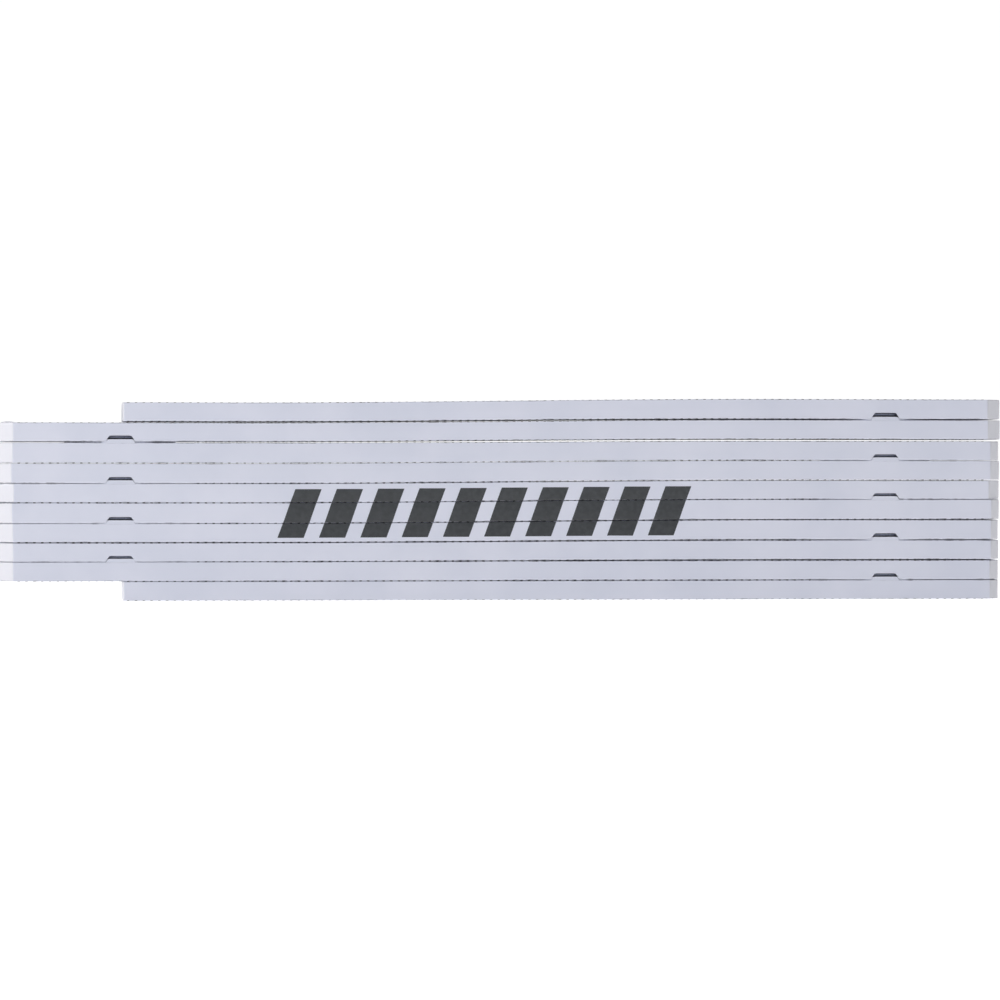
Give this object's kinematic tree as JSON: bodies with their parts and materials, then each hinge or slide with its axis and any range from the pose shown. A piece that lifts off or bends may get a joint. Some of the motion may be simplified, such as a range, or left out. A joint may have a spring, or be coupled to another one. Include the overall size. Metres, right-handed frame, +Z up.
{
  "type": "folding rule",
  "caption": "One-metre plastic folding rule, folded flat: graduated blades in a zigzag stack on riveted snap pivots.",
  "frame": {"origin": "on the underside of the folded stack, in the middle of its outline seen from above", "axes": "+X along the blades away from the square zero end, +Y across the blades, +Z up through the stack; pivots stand at x = +0.05 and x = -0.05 m"},
  "size_m": [0.1314, 0.014, 0.0259],
  "materials": {
    "white_plastic": "moulded white plastic, fine satin, black printed scale",
    "rivet_steel": "zinc-plated rivet heads, satin",
    "washer_steel": "zinc-plated, satin",
    "spring_steel": "dark tempered spring steel"
  },
  "bodies": {
    "blade_01": {"blade_01": "white_plastic"},
    "blade_02": {"blade_02": "white_plastic", "rivet_01": "rivet_steel", "washer_01": "washer_steel", "detent_spring_01": "spring_steel"},
    "blade_03": {"blade_03": "white_plastic", "rivet_02": "rivet_steel", "washer_02": "washer_steel", "detent_spring_02": "spring_steel"},
    "blade_04": {"blade_04": "white_plastic", "rivet_03": "rivet_steel", "washer_03": "washer_steel", "detent_spring_03": "spring_steel"},
    "blade_05": {"blade_05": "white_plastic", "rivet_04": "rivet_steel", "washer_04": "washer_steel", "detent_spring_04": "spring_steel"},
    "blade_06": {"blade_06": "white_plastic", "rivet_05": "rivet_steel", "washer_05": "washer_steel", "detent_spring_05": "spring_steel"},
    "blade_07": {"blade_07": "white_plastic", "rivet_06": "rivet_steel", "washer_06": "washer_steel", "detent_spring_06": "spring_steel"},
    "blade_08": {"blade_08": "white_plastic", "rivet_07": "rivet_steel", "washer_07": "washer_steel", "detent_spring_07": "spring_steel"},
    "blade_09": {"blade_09": "white_plastic", "rivet_08": "rivet_steel", "washer_08": "washer_steel", "detent_spring_08": "spring_steel"},
    "blade_10": {"blade_10": "white_plastic", "rivet_09": "rivet_steel", "washer_09": "washer_steel", "detent_spring_09": "spring_steel"}
  },
  "joints": [
    {"name": "pivot_01", "type": "hinge", "parent": "blade_02", "child": "blade_01", "pos_m": [0.05, 0, 0.0234], "axis": [0, 0, 1], "range_deg": [-180, 180]},
    {"name": "pivot_02", "type": "hinge", "parent": "blade_03", "child": "blade_02", "pos_m": [-0.05, 0, 0.0208], "axis": [0, 0, 1], "range_deg": [-180, 180]},
    {"name": "pivot_03", "type": "hinge", "parent": "blade_04", "child": "blade_03", "pos_m": [0.05, 0, 0.0182], "axis": [0, 0, 1], "range_deg": [-180, 180]},
    {"name": "pivot_04", "type": "hinge", "parent": "blade_05", "child": "blade_04", "pos_m": [-0.05, 0, 0.0156], "axis": [0, 0, 1], "range_deg": [-180, 180]},
    {"name": "pivot_05", "type": "hinge", "parent": "blade_06", "child": "blade_05", "pos_m": [0.05, 0, 0.013], "axis": [0, 0, 1], "range_deg": [-180, 180]},
    {"name": "pivot_06", "type": "hinge", "parent": "blade_07", "child": "blade_06", "pos_m": [-0.05, 0, 0.0104], "axis": [0, 0, 1], "range_deg": [-180, 180]},
    {"name": "pivot_07", "type": "hinge", "parent": "blade_08", "child": "blade_07", "pos_m": [0.05, 0, 0.0078], "axis": [0, 0, 1], "range_deg": [-180, 180]},
    {"name": "pivot_08", "type": "hinge", "parent": "blade_09", "child": "blade_08", "pos_m": [-0.05, 0, 0.0052], "axis": [0, 0, 1], "range_deg": [-180, 180]},
    {"name": "pivot_09", "type": "hinge", "parent": "blade_10", "child": "blade_09", "pos_m": [0.05, 0, 0.0026], "axis": [0, 0, 1], "range_deg": [-180, 180]}
  ]
}
